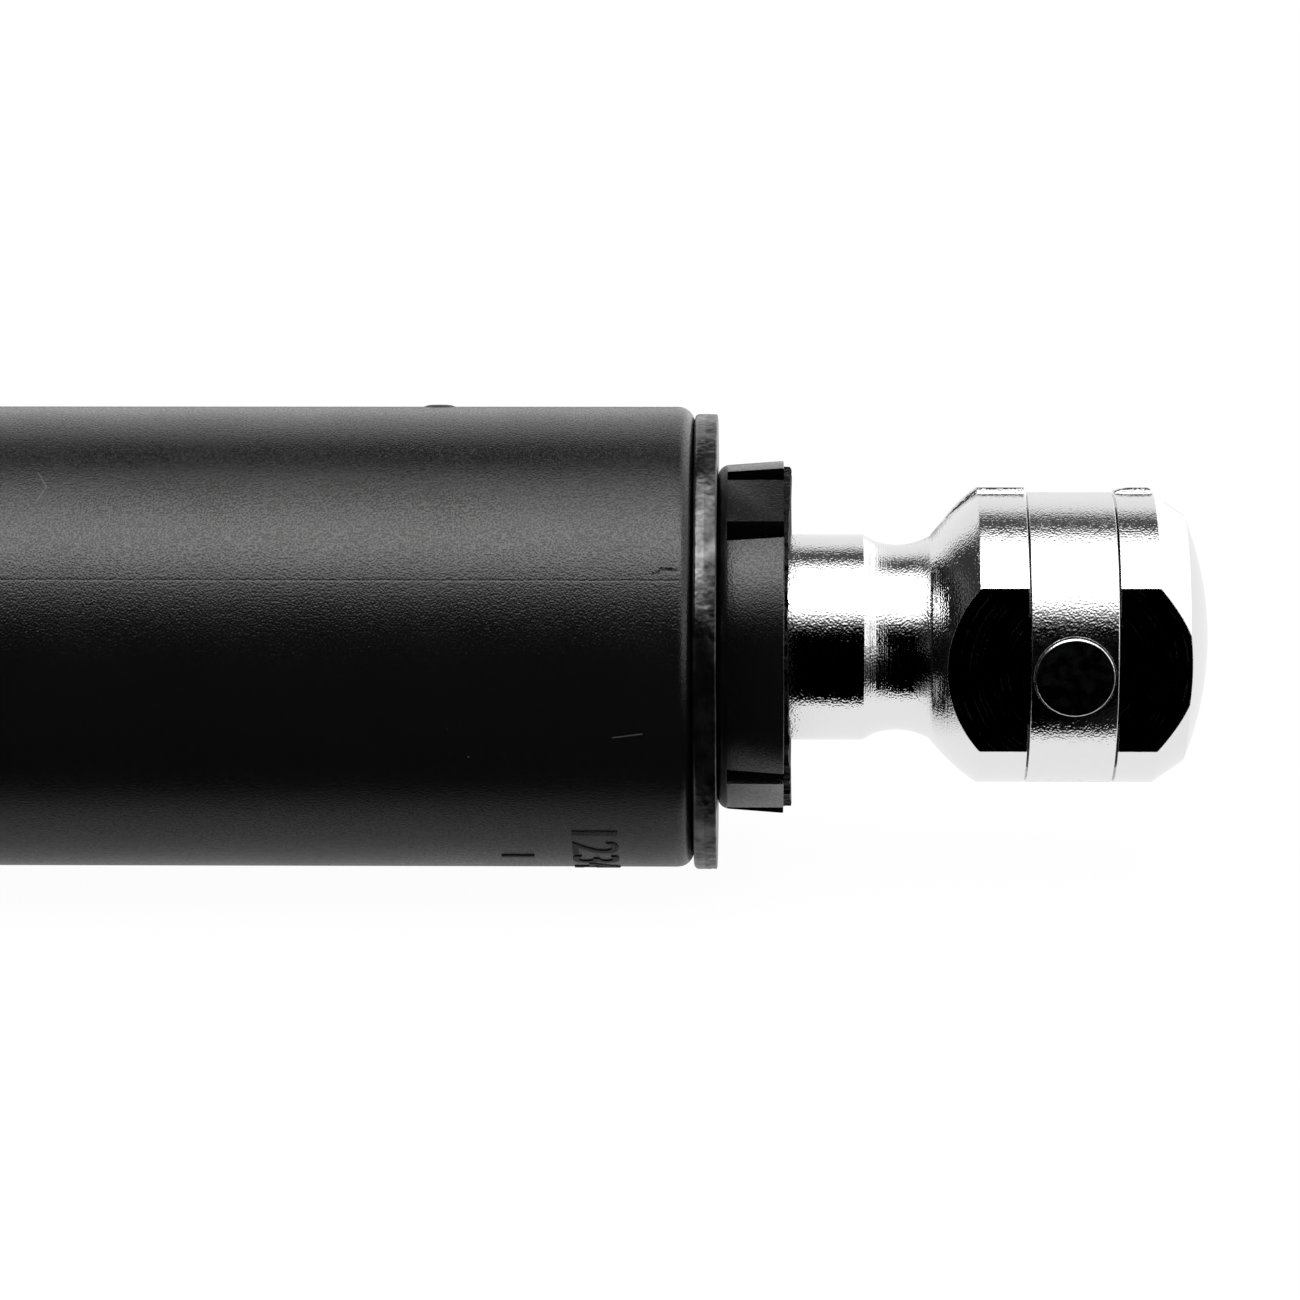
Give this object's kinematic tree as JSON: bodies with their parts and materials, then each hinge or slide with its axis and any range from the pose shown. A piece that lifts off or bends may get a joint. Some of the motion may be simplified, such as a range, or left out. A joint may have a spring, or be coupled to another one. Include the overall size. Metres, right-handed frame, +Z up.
{
  "type": "tailgate gas strut",
  "caption": "Spring-assisted gas strut with telescoping black cover tubes, and at each end a plated ball socket with a spring clip, a slotted collar and a steel washer.",
  "frame": {"origin": "centre of the ball pocket at the cylinder end, the end that the picture shows", "axes": "+X along the strut, from the rod end to the cylinder end; +Y out of both ball pockets' mouths, so the clip pins face -Y; +Z up in the picture"},
  "size_m": [0.5168, 0.028, 0.0282],
  "materials": {
    "black_nylon": "fine-grained matte moulding",
    "plated_steel": "bright plated, slightly pitted",
    "black_steel": "blackened, ragged edge",
    "washer_steel": "dark coated, stamped edge",
    "spring_steel": "phosphated and oiled",
    "painted_tube": "satin black",
    "turned_steel": "turned",
    "ground_rod": "ground and nitrided",
    "sintered_piston": "sintered",
    "guide_plastic": "natural",
    "ring_plastic": "filled, smooth",
    "seal_rubber": "moulded"
  },
  "bodies": {
    "cylinder": {"pressure_tube": "painted_tube", "base_plug": "turned_steel", "plug_o_ring": "seal_rubber", "rod_guide": "guide_plastic", "rod_seal": "seal_rubber", "seal_washer": "turned_steel", "outer_tube": "black_nylon", "coil_spring": "spring_steel", "cylinder_ball_socket": "plated_steel", "cylinder_clip_pin": "plated_steel", "cylinder_lock_ring": "black_steel", "cylinder_lock_collar": "black_nylon", "cylinder_snap_ring": "spring_steel", "cylinder_end_washer": "washer_steel"},
    "piston_seal": {"piston_ring": "ring_plastic"},
    "rod": {"piston_rod": "ground_rod", "support_washer": "turned_steel", "piston": "sintered_piston", "valve_disc": "turned_steel", "inner_tube": "black_nylon", "rod_ball_socket": "plated_steel", "rod_clip_pin": "plated_steel", "rod_lock_ring": "black_steel", "rod_lock_collar": "black_nylon", "rod_snap_ring": "spring_steel", "rod_end_washer": "washer_steel"},
    "cylinder_clip": {"cylinder_socket_clip": "plated_steel"},
    "rod_clip": {"rod_socket_clip": "plated_steel"}
  },
  "joints": [
    {"name": "rod_slide", "type": "slide", "parent": "cylinder", "child": "piston_seal", "axis": [1, 0, 0], "range_m": [0, 0.19], "stiffness_N_per_m": 800, "deforming": ["coil_spring"]},
    {"name": "rod_turn", "type": "hinge", "parent": "piston_seal", "child": "rod", "pos_m": [-0.5, 0, 0], "axis": [1, 0, 0], "continuous": true},
    {"name": "cylinder_clip_lift", "type": "slide", "parent": "cylinder", "child": "cylinder_clip", "axis": [0, -1, 0], "range_m": [0, 0.002], "stiffness_N_per_m": 2000},
    {"name": "rod_clip_lift", "type": "slide", "parent": "rod", "child": "rod_clip", "axis": [0, -1, 0], "range_m": [0, 0.002], "stiffness_N_per_m": 2000}
  ]
}
